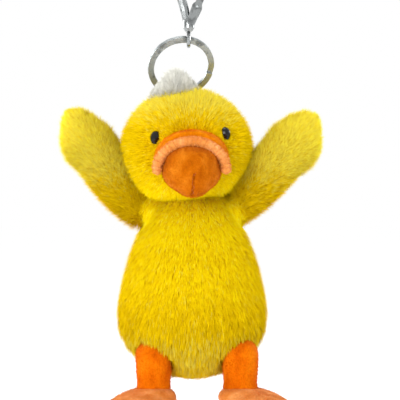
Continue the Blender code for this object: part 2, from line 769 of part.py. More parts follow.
def rim_path():
    """The rolled lip: an arch over the lower bill, level at its ends."""
    across = (BILL_R.x + RIM_R + 0.0005) * LIP_SNUG
    up = (BILL_R.z + RIM_R + 0.0007) * LIP_SNUG
    points = []
    for i in range(LIP_STEPS + 1):
        a = math.radians(LIP_HALF_SPAN * (2 * i / LIP_STEPS - 1))
        points.append(BILL + Vector((across * math.sin(a), -BILL_R.y * LIP_FORWARD, up * math.cos(a))))
    return points


def make_bill():
    """A small bill: a stuffed lower bulb, a flatter upper pad over it and a rolled lip between them."""
    head_room = head_clearance("cut_bill_head_room")
    lower = warped_ball("lower_bill_skin", ellipsoid_warp(BILL, BILL_R), 18, 12, "orange_velboa")
    hollow = warped_ball("cut_lower_bill_hollow", ellipsoid_warp(BILL, BILL_R, VELBOA), 18, 12)
    cut(lower, hollow, head_room)
    lower_fill = warped_ball("lower_bill_stuffing", ellipsoid_warp(BILL, BILL_R, VELBOA + 2 * GAP),
                             16, 10, "filling")
    cut(lower_fill, head_room)

    path = rim_path()
    swell = [RIM_R * (0.6 + 0.4 * math.sin(math.pi * (i + 1) / (LIP_STEPS + 2)))
             for i in range(LIP_STEPS + 1)]
    lip = tube("bill_lip", path, swell, "peach_velboa", sides=2, smoothness=3)
    lower_room = warped_ball("cut_lower_bill_room", ellipsoid_warp(BILL, BILL_R, -GAP), 18, 12)
    below = box("cut_below_upper_bill", BILL - Vector((FAR, FAR, FAR)),
                Vector((BILL.x + FAR, BILL.y + FAR, BILL.z - 0.0002)))
    pad_at = BILL + PAD_RISE
    upper = warped_ball("upper_bill_skin", ellipsoid_warp(pad_at, PAD_R), 18, 12, "orange_velboa")
    pad_hollow = warped_ball("cut_upper_bill_hollow", ellipsoid_warp(pad_at, PAD_R, VELBOA), 18, 12)
    front = box("cut_upper_bill_front", BILL - Vector((FAR, FAR, FAR)),
                Vector((BILL.x + FAR, path[0].y + RIM_R + GAP, BILL.z + FAR)))
    cut(upper, pad_hollow, head_room, lower_room, below, front)
    upper_fill = warped_ball("upper_bill_stuffing", ellipsoid_warp(pad_at, PAD_R, VELBOA + 2 * GAP),
                             16, 10, "filling")
    cut(upper_fill, head_room, lower_room, below, front)
    return lower, lower_fill, lip, upper, upper_fill


TUFT = Vector((-0.0060, PLUSH_Y - 0.0022, -0.0510))
TUFT_R = Vector((0.0100, 0.0040, 0.0062))
TUFT_TILT = math.radians(-14)


def make_tuft():
    """The white topknot, a soft fan of pile that follows the crown."""
    turn = Matrix.Rotation(TUFT_TILT, 3, "Y")

    def warp(p):
        return TUFT + turn @ Vector(c * r for c, r in zip(p, TUFT_R))

    tuft = warped_ball("head_tuft", warp, 20, 12, "white_fur")
    head_room = head_clearance("cut_tuft_head_room")
    cut(tuft, head_room)
    return tuft


# ---------------------------------------------------------------- assembly

swivel_axis = pivot_empty("swivel_axis", Vector((SWIVEL_X, 0.0, COLLAR_FOOT_Z)))
gate_axis = pivot_empty("gate_axis", PIVOT)
ring_axis = pivot_empty("ring_axis", EYE_CENTRE, swivel_axis)
loop_axis = pivot_empty("loop_axis", LOOP_AT, ring_axis)

make_clasp_body()
make_pin()
make_spring()
carry(gate_axis, make_gate())
carry(swivel_axis, make_swivel_eye())
carry(ring_axis, make_split_ring())
carry(loop_axis, make_ribbon_loop(), *make_head(), *make_body(), *make_bill(), make_tuft())
for side in ("right", "left"):
    carry(loop_axis, make_eye(side), make_washer(side))
    shoulder = pivot_empty(f"{side}_shoulder", SHOULDER[side], loop_axis)
    carry(shoulder, *make_wing(side))
    hip = pivot_empty(f"{side}_hip", Vector((LEG_X[side], HIP_Y, HIP_Z)), loop_axis)
    carry(hip, *make_leg(side), *make_foot(side))
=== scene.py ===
"""Looks of the plush duck keychain: pile fur, velboa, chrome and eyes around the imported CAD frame."""

import math

import bmesh
import bpy
import numpy as np
from mathutils import Matrix, Vector
from mathutils.bvhtree import BVHTree
from mathutils.kdtree import KDTree


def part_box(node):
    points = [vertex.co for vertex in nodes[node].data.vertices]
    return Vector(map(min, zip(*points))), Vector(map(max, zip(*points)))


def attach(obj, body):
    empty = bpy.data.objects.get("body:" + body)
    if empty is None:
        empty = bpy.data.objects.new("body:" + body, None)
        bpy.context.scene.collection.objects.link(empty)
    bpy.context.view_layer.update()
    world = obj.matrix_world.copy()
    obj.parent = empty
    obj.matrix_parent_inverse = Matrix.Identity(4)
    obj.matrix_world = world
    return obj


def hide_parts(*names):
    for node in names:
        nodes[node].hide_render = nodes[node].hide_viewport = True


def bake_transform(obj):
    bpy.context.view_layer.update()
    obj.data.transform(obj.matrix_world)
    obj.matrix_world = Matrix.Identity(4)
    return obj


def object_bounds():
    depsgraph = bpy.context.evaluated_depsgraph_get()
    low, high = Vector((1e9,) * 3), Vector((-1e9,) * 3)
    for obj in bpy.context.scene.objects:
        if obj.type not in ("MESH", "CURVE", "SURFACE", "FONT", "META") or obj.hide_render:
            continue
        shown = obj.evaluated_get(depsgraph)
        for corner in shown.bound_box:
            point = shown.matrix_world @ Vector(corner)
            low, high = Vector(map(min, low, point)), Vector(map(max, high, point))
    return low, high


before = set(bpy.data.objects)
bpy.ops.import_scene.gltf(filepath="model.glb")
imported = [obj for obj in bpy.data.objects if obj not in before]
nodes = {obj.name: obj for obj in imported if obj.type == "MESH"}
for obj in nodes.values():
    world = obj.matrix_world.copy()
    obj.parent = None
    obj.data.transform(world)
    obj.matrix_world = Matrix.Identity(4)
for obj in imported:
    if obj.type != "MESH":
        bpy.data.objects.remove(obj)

MM = 0.001
cad_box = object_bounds()


def box_centre(node):
    low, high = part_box(node)
    return (low + high) / 2


HEAD = box_centre("head_stuffing")
BODY = box_centre("body_stuffing")
BODY_LOW, BODY_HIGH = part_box("body_skin")
LIP_LOW, LIP_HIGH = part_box("bill_lip")
BULB_LOW, BULB_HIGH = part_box("lower_bill_skin")
PAD_LOW, PAD_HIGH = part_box("upper_bill_skin")
EYES = {side: box_centre(f"{side}_eye") for side in ("left", "right")}
MIDDLE = BODY.x
DOWN = np.array((0.0, 0.0, -1.0))


# ---------------------------------------------------------------- materials

def srgb(red, green, blue):
    """Linear colour, with alpha, of an sRGB colour given in 0 to 255."""
    def linear(value):
        value /= 255
        return value / 12.92 if value <= 0.04045 else ((value + 0.055) / 1.055) ** 2.4
    return (linear(red), linear(green), linear(blue), 1.0)


def plain_material(name, colour, roughness, **sockets):
    """A Principled material; sockets are its other inputs, with _ for each space."""
    material = bpy.data.materials.new(name)
    material.use_nodes = True
    material.diffuse_color = colour
    shader = material.node_tree.nodes["Principled BSDF"]
    shader.inputs["Base Color"].default_value = colour
    shader.inputs["Roughness"].default_value = roughness
    for socket, value in sockets.items():
        shader.inputs[socket.replace("_", " ")].default_value = value
    return material


class Nodes:
    """Adds nodes to a material, each linked as it is made."""

    def __init__(self, material):
        self.tree = material.node_tree
        self.shader = self.tree.nodes["Principled BSDF"]
        self.place = self.add("ShaderNodeTexCoord").outputs["Object"]

    def add(self, kind, **settings):
        node = self.tree.nodes.new(kind)
        for setting, value in settings.items():
            setattr(node, setting, value)
        return node

    def link(self, source, target):
        self.tree.links.new(source, target)

    def noise(self, grain, detail=2.0, stretch=(1, 1, 1), stray=0.0):
        """Noise with features about grain metres across, drawn out by stretch."""
        mapping = self.add("ShaderNodeMapping")
        mapping.inputs["Scale"].default_value = [1 / factor for factor in stretch]
        self.link(self.place, mapping.inputs["Vector"])
        texture = self.add("ShaderNodeTexNoise")
        texture.inputs["Scale"].default_value = 1 / grain
        texture.inputs["Detail"].default_value = detail
        texture.inputs["Distortion"].default_value = stray
        self.link(mapping.outputs["Vector"], texture.inputs["Vector"])
        return texture.outputs["Fac"]

    def ramp(self, value, stops):
        """Colours by value: stops are (position, colour)."""
        ramp = self.add("ShaderNodeValToRGB").color_ramp
        node = self.tree.nodes[-1]
        while len(ramp.elements) < len(stops):
            ramp.elements.new(0.5)
        for element, (position, colour) in zip(ramp.elements, stops):
            element.position = position
            element.color = colour
        self.link(value, node.inputs["Fac"])
        return node.outputs["Color"]

    def blend(self, factor, first, second, kind="MIX"):
        node = self.add("ShaderNodeMix", data_type="RGBA", blend_type=kind)
        for source, target in ((factor, node.inputs[0]), (first, node.inputs[6]), (second, node.inputs[7])):
            if isinstance(source, (int, float, tuple)):
                target.default_value = source
            else:
                self.link(source, target)
        return node.outputs[2]

    def spread(self, value, low, high):
        node = self.add("ShaderNodeMapRange")
        node.inputs["From Min"].default_value = 0.3
        node.inputs["From Max"].default_value = 0.7
        node.inputs["To Min"].default_value = low
        node.inputs["To Max"].default_value = high
        self.link(value, node.inputs["Value"])
        return node.outputs["Result"]

    def bump(self, height, depth, strength=1.0, under=None):
        node = self.add("ShaderNodeBump")
        node.inputs["Distance"].default_value = depth
        node.inputs["Strength"].default_value = strength
        self.link(height, node.inputs["Height"])
        if under is not None:
            self.link(under, node.inputs["Normal"])
        return node.outputs["Normal"]

    def finish(self, colour=None, roughness=None, normal=None):
        for source, target in ((colour, "Base Color"), (roughness, "Roughness"), (normal, "Normal")):
            if source is not None:
                self.link(source, self.shader.inputs[target])


def nap_material(name, deep, main, pale, sheen, tint):
    """Short sheared pile: patches where the nap lies another way, fine fibres, soft bloom at edges."""
    material = plain_material(
        name, main, 0.85, Sheen_Weight=sheen, Sheen_Roughness=0.45, Sheen_Tint=tint, Specular_IOR_Level=0.03
    )
    n = Nodes(material)
    patches = n.noise(5 * MM, 3, (1, 1, 1.6), 0.4)
    fibres = n.noise(0.35 * MM, 2, (1, 1, 2.2))
    colour = n.ramp(patches, [(0.32, deep), (0.5, main), (0.7, pale)])
    grain = n.ramp(fibres, [(0.3, (0.74, 0.72, 0.70, 1)), (0.62, (1, 1, 1, 1))])
    colour = n.blend(0.75, colour, grain, "MULTIPLY")
    soft = n.bump(patches, 0.35 * MM, 0.5)
    normal = n.bump(fibres, 0.12 * MM, 0.9, soft)
    n.finish(colour, n.spread(fibres, 0.95, 0.72), normal)
    return material


def fur_bed_material(name, deep, main):
    """The knitted backing and pile roots that show between strands."""
    material = plain_material(name, main, 0.95, Sheen_Weight=0.2, Specular_IOR_Level=0.1)
    n = Nodes(material)
    locks = n.noise(1.3 * MM, 3, (1, 1, 3), 0.6)
    fibres = n.noise(0.3 * MM, 2, (1, 1, 4))
    colour = n.ramp(locks, [(0.3, deep), (0.65, main)])
    grain = n.ramp(fibres, [(0.3, (0.7, 0.66, 0.5, 1)), (0.6, (1, 1, 1, 1))])
    colour = n.blend(0.5, colour, grain, "MULTIPLY")
    normal = n.bump(fibres, 0.15 * MM, 0.8, n.bump(locks, 0.5 * MM, 0.8))
    n.finish(colour, n.spread(fibres, 0.98, 0.85), normal)
    return material


def metal_material(name, colour, shine, brushed):
    """Plated metal with fine polishing marks, duller patches and a slightly darker worn tone."""
    material = plain_material(name, colour, shine, Metallic=1.0)
    n = Nodes(material)
    marks = n.noise(0.25 * MM, 4, brushed)
    patches = n.noise(2.5 * MM, 3)
    worn = tuple(0.5 * channel for channel in colour[:3]) + (1.0,)
    tone = n.ramp(patches, [(0.34, worn), (0.5, colour), (1.0, colour)])
    polish = n.spread(marks, shine * 0.7, shine * 1.7)
    wear = n.spread(patches, shine * 1.6, shine * 0.8)
    roughness = n.blend(0.5, polish, wear)
    n.finish(tone, roughness, n.bump(marks, 0.012 * MM, 0.35))
    return material


def eye_material():
    """Moulded glossy black acrylic, with faint handling haze."""
    material = plain_material("eye_black", (0.004, 0.0035, 0.003, 1), 0.08, Specular_IOR_Level=0.3)
    n = Nodes(material)
    haze = n.noise(0.8 * MM, 3)
    n.finish(
        n.ramp(haze, [(0.4, (0.003, 0.0025, 0.002, 1)), (0.7, (0.010, 0.008, 0.006, 1))]),
        n.spread(haze, 0.05, 0.13),
        n.bump(n.noise(1.5 * MM), 0.01 * MM, 0.3),
    )
    return material


def plastic_material():
    """Milky polypropylene of the locking washers."""
    material = plain_material("washer_plastic", (0.75, 0.76, 0.74, 1), 0.4, Transmission_Weight=0.25)
    n = Nodes(material)
    flow = n.noise(1.2 * MM, 3)
    n.finish(
        n.ramp(flow, [(0.3, (0.66, 0.67, 0.64, 1)), (0.7, (0.80, 0.81, 0.79, 1))]),
        n.spread(flow, 0.3, 0.5),
        n.bump(flow, 0.03 * MM),
    )
    return material


RIBS_PER_METRE = 330
WARP_PER_METRE = 560


def ribbon_material(name, thread, gap):
    """Grosgrain: fine ribs across the ribbon, warp threads along it."""
    material = plain_material(name, thread, 0.7, Sheen_Weight=0.3)
    n = Nodes(material)
    ribs = n.add("ShaderNodeTexWave", wave_type="BANDS", bands_direction="Z")
    ribs.inputs["Scale"].default_value = RIBS_PER_METRE
    ribs.inputs["Distortion"].default_value = 0.6
    n.link(n.place, ribs.inputs["Vector"])
    warp = n.add("ShaderNodeTexWave", wave_type="BANDS", bands_direction="X")
    warp.inputs["Scale"].default_value = WARP_PER_METRE
    n.link(n.place, warp.inputs["Vector"])
    cloth = n.blend(0.5, ribs.outputs["Fac"], warp.outputs["Fac"], "MULTIPLY")
    n.finish(
        n.ramp(cloth, [(0.1, gap), (0.6, thread)]),
        n.spread(n.noise(0.6 * MM), 0.6, 0.85),
        n.bump(cloth, 0.08 * MM),
    )
    return material


def thread_material(name, light, dark):
    """Spun polyester sewing thread."""
    material = plain_material(name, light, 0.6, Sheen_Weight=0.3)
    n = Nodes(material)
    twist = n.noise(0.12 * MM, 1, (2, 1, 1), 1.0)
    colour = n.ramp(twist, [(0.35, dark), (0.6, light)])
    n.finish(colour, n.spread(twist, 0.5, 0.75), n.bump(twist, 0.04 * MM))
    return material


# Shades of pile, dark to light, each as the sRGB colours of a strand's root and tip. The tone functions
# below choose among them partly by which way the fur faces: painted light and shade.
YELLOW_COAT = [
    ((190, 141, 0), (206, 169, 2)),
    ((206, 159, 0), (222, 187, 4)),
    ((222, 177, 0), (236, 203, 6)),
    ((238, 196, 0), (248, 219, 8)),
    ((250, 212, 0), (255, 234, 12)),
]
WHITE_COAT = [
    ((192, 191, 180), (212, 211, 202)),
    ((202, 201, 191), (224, 223, 215)),
    ((212, 211, 201), (236, 235, 228)),
]
ORANGE_NAP = [
    ((204, 90, 0), (214, 104, 2)),
    ((218, 104, 0), (228, 118, 6)),
    ((228, 116, 2), (238, 134, 16)),
]
BILL_NAP = [
    ((176, 86, 0), (190, 100, 4)),
    ((190, 98, 0), (206, 114, 14)),
    ((204, 110, 4), (220, 132, 32)),
]
ARC_NAP = [
    ((208, 112, 0), (222, 126, 2)),
    ((220, 124, 0), (234, 142, 6)),
    ((230, 136, 2), (244, 158, 18)),
]
LIP_NAP = [
    ((214, 134, 54), (226, 148, 74)),
    ((224, 144, 66), (238, 164, 94)),
    ((234, 158, 84), (248, 184, 124)),
]
PEACH_NAP = [
    ((206, 116, 42), (218, 134, 64)),
    ((218, 130, 56), (230, 150, 84)),
    ((228, 144, 70), (240, 168, 108)),
]
ROOT_WHITENING = 0.4
GREEN_WHITENING = 0.22


def coat_materials(name, coat, whitening=0):
    """Two materials for each shade of fur, for its strands' lower and upper halves.
    whitening pales the upper half fully and the lower half a little. The whitened coat is painted highlight
    on the head top and upper wings, and the paler fur low on the belly."""
    made = []
    for shade, halves in enumerate(coat):
        for half, (red, green, blue) in zip(("root", "tip"), halves):
            pale = whitening if half == "tip" else whitening * ROOT_WHITENING
            colour = srgb(red, min(255, green + pale * GREEN_WHITENING), blue + pale)
            made.append(plain_material(f"{name}_{shade}_{half}", colour, 0.85, Specular_IOR_Level=0.0))
    return made


# ---------------------------------------------------------------- mesh work

def unit(vectors):
    return vectors / np.maximum(np.linalg.norm(vectors, axis=-1, keepdims=True), 1e-12)


def read(mesh, attribute, width, kind=np.float32, of="vertices"):
    data = getattr(mesh, of)
    values = np.empty(len(data) * width, kind)
    data.foreach_get(attribute, values)
    return values.reshape(-1, width)


def places(piece):
    return read(piece.data, "co", 3).astype(float)


def move_to(piece, points):
    piece.data.vertices.foreach_set("co", points.astype(np.float32).ravel())
    piece.data.update()


def normals_of(piece):
    return read(piece.data, "normal", 3).astype(float)


def new_piece(name, mesh, *materials):
    piece = bpy.data.objects.new(name, mesh)
    bpy.context.scene.collection.objects.link(piece)
    mesh.materials.clear()
    for material in materials:
        mesh.materials.append(material)
    return piece


def bake(piece):
    """Applies the piece's modifiers."""
    graph = bpy.context.evaluated_depsgraph_get()
    mesh = bpy.data.meshes.new_from_object(piece.evaluated_get(graph))
    piece.modifiers.clear()
    old = piece.data
    piece.data = mesh
    bpy.data.meshes.remove(old)
    return piece


def smooth_shading(piece):
    piece.data.polygons.foreach_set("use_smooth", [True] * len(piece.data.polygons))
    piece.data.update()
    return piece


def relax(piece, turns):
    modifier = piece.modifiers.new("relax", "SMOOTH")
    modifier.iterations = turns
    modifier.factor = 0.5
    return bake(piece)


def refine(piece, levels=1):
    modifier = piece.modifiers.new("refine", "SUBSURF")
    modifier.levels = levels
    modifier.render_levels = levels
    return bake(piece)


def solid_of(name, cad_nodes, voxel, material, turns=6, lumps=()):
    """One closed mesh round the given CAD nodes and lumps, remeshed evenly so that it can be stuffed.
    A lump is a ball that rounds out a sewn join: (centre, radii)."""
    shape = bmesh.new()
    for node in cad_nodes:
        shape.from_mesh(nodes[node].data)
    for centre, radii in lumps:
        ball = bmesh.ops.create_uvsphere(shape, u_segments=24, v_segments=16, radius=1.0)["verts"]
        place = Matrix.Translation(centre) @ Matrix.Diagonal((*radii, 1))
        bmesh.ops.transform(shape, matrix=place, verts=ball)
    mesh = bpy.data.meshes.new(name)
    shape.to_mesh(mesh)
    shape.free()
    piece = new_piece(name, mesh, material)
    remesh = piece.modifiers.new("remesh", "REMESH")
    remesh.mode = "VOXEL"
    remesh.voxel_size = voxel
    bake(piece)
    piece.data.materials.clear()
    piece.data.materials.append(material)
    relax(piece, turns)
    return smooth_shading(piece)


STUFF_STEPS = 20
CLOTH_STIFFNESS = 30
BENDING = 2
PRESSURE = 4.0


def stuff(piece, shrink, cap, size=12.0):
    """Blows a piece up as cloth under its filling's pressure; no point moves further than cap.
    The cloth is simulated at size times its real size, so that its stiffness suits so small a piece."""
    start = places(piece)
    normals = normals_of(piece)
    move_to(piece, start - normals * shrink)
    rest = places(piece)
    move_to(piece, rest * size)
    cloth = piece.modifiers.new("cloth", "CLOTH").settings
    cloth.use_pressure = True
    cloth.uniform_pressure_force = PRESSURE
    cloth.effector_weights.gravity = 0
    cloth.tension_stiffness = CLOTH_STIFFNESS
    cloth.compression_stiffness = CLOTH_STIFFNESS
    cloth.bending_stiffness = BENDING
    for step in range(1, STUFF_STEPS + 1):
        bpy.context.scene.frame_set(step)
    bake(piece)
    bpy.context.scene.frame_set(1)
    moved = places(piece) / size - rest
    reach = np.linalg.norm(moved, axis=1, keepdims=True)
    moved *= np.minimum(1, cap / np.maximum(reach, 1e-9))
    move_to(piece, rest + moved)
    return smooth_shading(piece)


def along(points, path):
    """For each point: its distance to the path, and how far along the path its nearest place is."""
    path = np.asarray(path, float)
    nearest = np.full(len(points), 1e9)
    reach = np.zeros(len(points))
    walked = 0.0
    for start, end in zip(path[:-1], path[1:]):
        step = end - start
        length = np.linalg.norm(step)
        t = np.clip(((points - start) @ step) / length ** 2, 0, 1)
        distance = np.linalg.norm(points - start - t[:, None] * step, axis=1)
        closer = distance < nearest
        nearest = np.where(closer, distance, nearest)
        reach = np.where(closer, walked + t * length, reach)
        walked += length
    return nearest, reach


def crease(piece, path, depth, width, pitch=0.0, pucker=0.0):
    """Presses a sewn seam into the piece along a path, gathered into puckers of the given pitch."""
    points = places(piece)
    distance, reach = along(points, path)
    fall = np.exp(-(distance / width) ** 2)
    wide = np.exp(-(distance / (2.6 * width)) ** 2)
    sink = depth * fall
    if pitch:
        sink = sink + pucker * wide * (0.5 + 0.5 * np.sin(reach * 2 * math.pi / pitch))
    move_to(piece, points - normals_of(piece) * sink[:, None])
    return piece


def on_surface(piece, path, lift=0.0):
    """The path's points moved to the nearest place on the piece, then lifted off it."""
    tree = tree_of(piece)
    moved = []
    for point in path:
        place, normal, _, _ = tree.find_nearest(Vector(point))
        moved.append(np.array(place + normal * lift))
    return moved


def tree_of(piece):
    return BVHTree.FromPolygons(
        [v.co for v in piece.data.vertices], [p.vertices for p in piece.data.polygons]
    )


def stitches(name, path, pitch, length, radius, material):
    """Short rounded threads along a path, one each pitch, each of the given length."""
    shape = bmesh.new()
    path = [Vector(point) for point in path]
    reach = 0.0
    for start, end in zip(path[:-1], path[1:]):
        step = end - start
        while reach < step.length:
            centre = start + step * (reach / step.length)
            turn = step.to_track_quat("Z", "Y").to_matrix().to_4x4()
            made = bmesh.ops.create_uvsphere(shape, u_segments=8, v_segments=6, radius=1.0)["verts"]
            scale = Matrix.Diagonal((radius, radius, length / 2, 1))
            bmesh.ops.transform(shape, matrix=Matrix.Translation(centre) @ turn @ scale, verts=made)
            reach += pitch
        reach -= step.length
    mesh = bpy.data.meshes.new(name)
    shape.to_mesh(mesh)
    shape.free()
    return smooth_shading(new_piece(name, mesh, material))


# ---------------------------------------------------------------- fur

LENGTH_SPREAD = (0.72, 1.12)
TIP_STRAY = 1.6
ROOT_SINK = 0.25 * MM
MIDDLE_WIDTH = 0.8
MIDDLE_GATHER = 0.45
SHADE_STRAY = 0.4
SHADE_LOCK_STRAY = 0.35
PALE_STRAY = 0.22
PALE_LOCK_STRAY = 0.12
CLEAR_START = 0.5 * MM
NAP_LENGTH = 0.6 * MM
NAP_WIDTH = 0.13 * MM


def scatter(draw, piece, count):
    """Points spread evenly over a piece, with the smooth normal at each."""
    piece.data.calc_loop_triangles()
    corners = read(piece.data, "vertices", 3, np.int32, "loop_triangles")
    points, normals = places(piece), normals_of(piece)
    a, b, c = (points[corners[:, i]] for i in range(3))
    area = np.linalg.norm(np.cross(b - a, c - a), axis=1)
    pick = draw.choice(len(corners), count, p=area / area.sum())
    u, v = draw.random(count), draw.random(count)
    over = u + v > 1
    u[over], v[over] = 1 - u[over], 1 - v[over]
    weights = np.stack((1 - u - v, u, v), 1)[:, :, None]
    return (weights * points[corners[pick]]).sum(1), unit((weights * normals[corners[pick]]).sum(1))


def open_air(piece, roots, normals, reach):
    """True for the roots whose strands don't run back into the piece."""
    tree = tree_of(piece)
    clear = np.ones(len(roots), bool)
    for i, (root, normal) in enumerate(zip(roots, normals)):
        normal = Vector(normal)
        hit = tree.ray_cast(Vector(root) + normal * CLEAR_START, normal, reach)
        clear[i] = hit[0] is None
    return clear


def nearest_lead(roots, leads):
    """For each root, the index of the nearest of the first leads roots."""
    tree = KDTree(leads)
    for i in range(leads):
        tree.insert(roots[i], i)
    tree.balance()
    return np.array([tree.find(root)[1] for root in roots])


def grow(name, bed, seed, count, length, flow, coats, tone, keep=None, pale=None, clump=None,
         lean=0.5, loft=1.0, stray=0.2, lock=9.0, width=0.24 * MM, reach=3 * MM):
    """A coat of tapered, bent strands on a bed.
    length, flow and tone give each root's strand length, combing direction and middle shade, and keep
    says which roots grow.
    pale is the share of strands taken from the second of the two coats.
    lock is how many strands gather to one tip, and clump how closely."""
    draw = np.random.default_rng(seed)
    roots, normals = scatter(draw, bed, count)
    grows = open_air(bed, roots, normals, reach)
    if keep is not None:
        grows &= keep(roots, normals)
    roots, normals = roots[grows], normals[grows]
    size = len(roots)
    comb = flow(roots, normals)
    comb = unit(comb - normals * (comb * normals).sum(1, keepdims=True))
    long = (length(roots, normals) * draw.uniform(*LENGTH_SPREAD, size))[:, None]
    swirl = draw.normal(0, stray, (size, 3))
    rise = unit(normals + comb * lean + swirl)
    lay = unit(normals * loft + comb + swirl * TIP_STRAY)
    middle = roots + rise * long * 0.5
    tips = middle + lay * long * 0.5
    leads = max(1, int(size / lock))
    lead = nearest_lead(roots, leads)
    gather = (clump(roots, normals) * draw.uniform(0.4, 1.0, size))[:, None] if clump else 0.0
    tips += (tips[lead] - tips) * gather
    middle += (middle[lead] - middle) * gather * MIDDLE_GATHER
    side = unit(np.cross(tips - roots, normals)) * (width / 2)
    sunk = roots - normals * ROOT_SINK
    waist = side * MIDDLE_WIDTH
    rows = np.stack((sunk - side, sunk + side, middle - waist, middle + waist, tips), 1)
    first = np.arange(size)[:, None] * 5
    corners = np.concatenate((first + (0, 1, 3, 2), first + (2, 3, 4)), 1).ravel()
    mesh = bpy.data.meshes.new(name)
    mesh.vertices.add(size * 5)
    mesh.vertices.foreach_set("co", rows.astype(np.float32).ravel())
    mesh.loops.add(size * 7)
    mesh.loops.foreach_set("vertex_index", corners.astype(np.int32))
    mesh.polygons.add(size * 2)
    starts = (np.arange(size)[:, None] * 7 + (0, 4)).ravel()
    mesh.polygons.foreach_set("loop_start", starts.astype(np.int32))
    piece = new_piece(name, mesh, *(material for coat in coats for material in coat))
    shades = len(coats[0]) // 2
    shade = tone(roots, normals) + draw.normal(0, SHADE_STRAY, size)
    shade += draw.normal(0, SHADE_LOCK_STRAY, leads)[lead]
    shade = np.clip(np.rint(shade), 0, shades - 1).astype(np.int32)
    if pale:
        wanted = pale(roots, normals) + draw.normal(0, PALE_STRAY, size)
        wanted += draw.normal(0, PALE_LOCK_STRAY, leads)[lead]
        shade += np.where(wanted > 0.5, shades, 0).astype(np.int32)
    mesh.polygons.foreach_set("material_index", (shade[:, None] * 2 + (0, 1)).astype(np.int32).ravel())
    mesh.polygons.foreach_set("use_smooth", np.ones(size * 2, bool))
    mesh.update(calc_edges=True)
    return piece


def same(value):
    """A strand setting that is the same at every root."""
    return lambda roots, normals: np.full(len(roots), value)


def nap(bed, seed, count, materials, keep=None):
    """Sheared pile standing off a velboa piece, fine enough to soften its outline."""
    def downward(roots, normals):
        return np.repeat(DOWN[None], len(roots), 0)

    return grow(
        f"{bed.name}_nap", bed, seed, count, same(NAP_LENGTH), downward, [materials], same(1.0), keep,
        lean=0.6, loft=0.8, stray=0.35, width=NAP_WIDTH, reach=NAP_LENGTH * 1.5,
    )


def smoothstep(value, low, high):
    t = np.clip((value - low) / (high - low), 0, 1)
    return t * t * (3 - 2 * t)


def ellipse(points, centre, half_x, half_z):
    """1 on an upright ellipse seen from the front, less inside it."""
    return np.hypot((points[:, 0] - centre[0]) / half_x, (points[:, 2] - centre[2]) / half_z)


# ---------------------------------------------------------------- make the materials

ORANGE = coat_materials("orange_nap", ORANGE_NAP)
BILL_ORANGE = coat_materials("bill_nap", BILL_NAP)
ARC_ORANGE = coat_materials("arc_nap", ARC_NAP)
PEACH = coat_materials("peach_nap", PEACH_NAP)
LIP_PEACH = coat_materials("lip_nap", LIP_NAP)
YELLOW = coat_materials("yellow_pile", YELLOW_COAT)
# Whitened coat: painted highlight where the fur faces up on the head and high on the wings, and paler fur
# low on the belly.
PALE = coat_materials("pale_yellow_pile", YELLOW_COAT, 62)
WHITE = coat_materials("white_pile", WHITE_COAT)
yellow_bed = fur_bed_material("yellow_backing", srgb(226, 176, 2), srgb(246, 206, 6))
white_bed = fur_bed_material("white_backing", srgb(188, 187, 178), srgb(220, 219, 210))
orange = nap_material(
    "orange_velboa", srgb(202, 88, 0), srgb(221, 106, 1), srgb(232, 124, 5), 0.05, (1.0, 0.6, 0.25, 1)
)
bill_orange = nap_material(
    "bill_velboa", srgb(172, 82, 0), srgb(194, 100, 2), srgb(214, 122, 20), 0.06, (1.0, 0.72, 0.45, 1)
)
arc_orange = nap_material(
    "bill_arc_velboa", srgb(206, 112, 0), srgb(224, 130, 2), srgb(238, 148, 12), 0.05, (1.0, 0.8, 0.45, 1)
)
lip_peach = nap_material(
    "bill_lip_peach", srgb(214, 130, 52), srgb(232, 154, 78), srgb(244, 176, 110), 0.12, (1.0, 0.85, 0.7, 1)
)
peach = nap_material(
    "peach_velboa", srgb(202, 110, 38), srgb(220, 132, 58), srgb(233, 154, 86), 0.12, (1.0, 0.8, 0.6, 1)
)
# The chrome plate's base colour is kept dark, well below bright chrome: painted reflection of a dark studio
# that the white world lacks.
chrome = metal_material("chrome_plate", (0.31, 0.325, 0.325, 1), 0.16, (1, 1, 6))
steel = metal_material("nickel_steel", (0.44, 0.47, 0.47, 1), 0.42, (5, 1, 1))
eye_black = eye_material()
washer_plastic = plastic_material()
woven = ribbon_material("woven_ribbon", srgb(236, 234, 224), srgb(176, 172, 158))
orange_thread = thread_material("orange_thread", srgb(224, 112, 20), srgb(170, 74, 8))


# ---------------------------------------------------------------- head

FUR_VOXEL = 1.2 * MM
head = solid_of("head_fur_backing", ["head_skin", "head_stuffing"], FUR_VOXEL, yellow_bed)
stuff(head, -0.7 * MM, 0.4 * MM)
FRONT = HEAD.y - 4 * MM
BILL = Vector(((PAD_LOW.x + PAD_HIGH.x) / 2, PAD_LOW.y, (PAD_HIGH.z + BULB_LOW.z) / 2))
BILL_HALF_X = (PAD_HIGH.x - PAD_LOW.x) / 2
BILL_HALF_Z = (PAD_HIGH.z - BULB_LOW.z) / 2


RING_LOW, RING_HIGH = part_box("split_ring")
RIBBON_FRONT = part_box("ribbon_loop")[0].y
CROWN = np.array(((RING_LOW.x + RING_HIGH.x) / 2, RIBBON_FRONT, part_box("head_skin")[1].z))


def near_eye(points):
    """Distance from the nearest eye's middle, in metres."""
    return np.min([np.linalg.norm(points - np.array(eye), axis=1) for eye in EYES.values()], 0)


def head_length(roots, normals):
    front = smoothstep(-(roots[:, 1] - FRONT), 0, 8 * MM)
    base = 5.4 * MM - front * 1.2 * MM
    face = smoothstep(ellipse(roots, BILL, BILL_HALF_X, BILL_HALF_Z), 0.85, 1.5)
    shorten = np.where(roots[:, 1] < FRONT, 0.5 + 0.5 * face, 1.0)
    eye = smoothstep(near_eye(roots), 2.6 * MM, 7 * MM)
    under_ring = smoothstep(np.linalg.norm(roots - CROWN, axis=1), 5.5 * MM, 9 * MM)
    return base * shorten * (0.45 + 0.55 * eye) * (0.2 + 0.8 * under_ring)


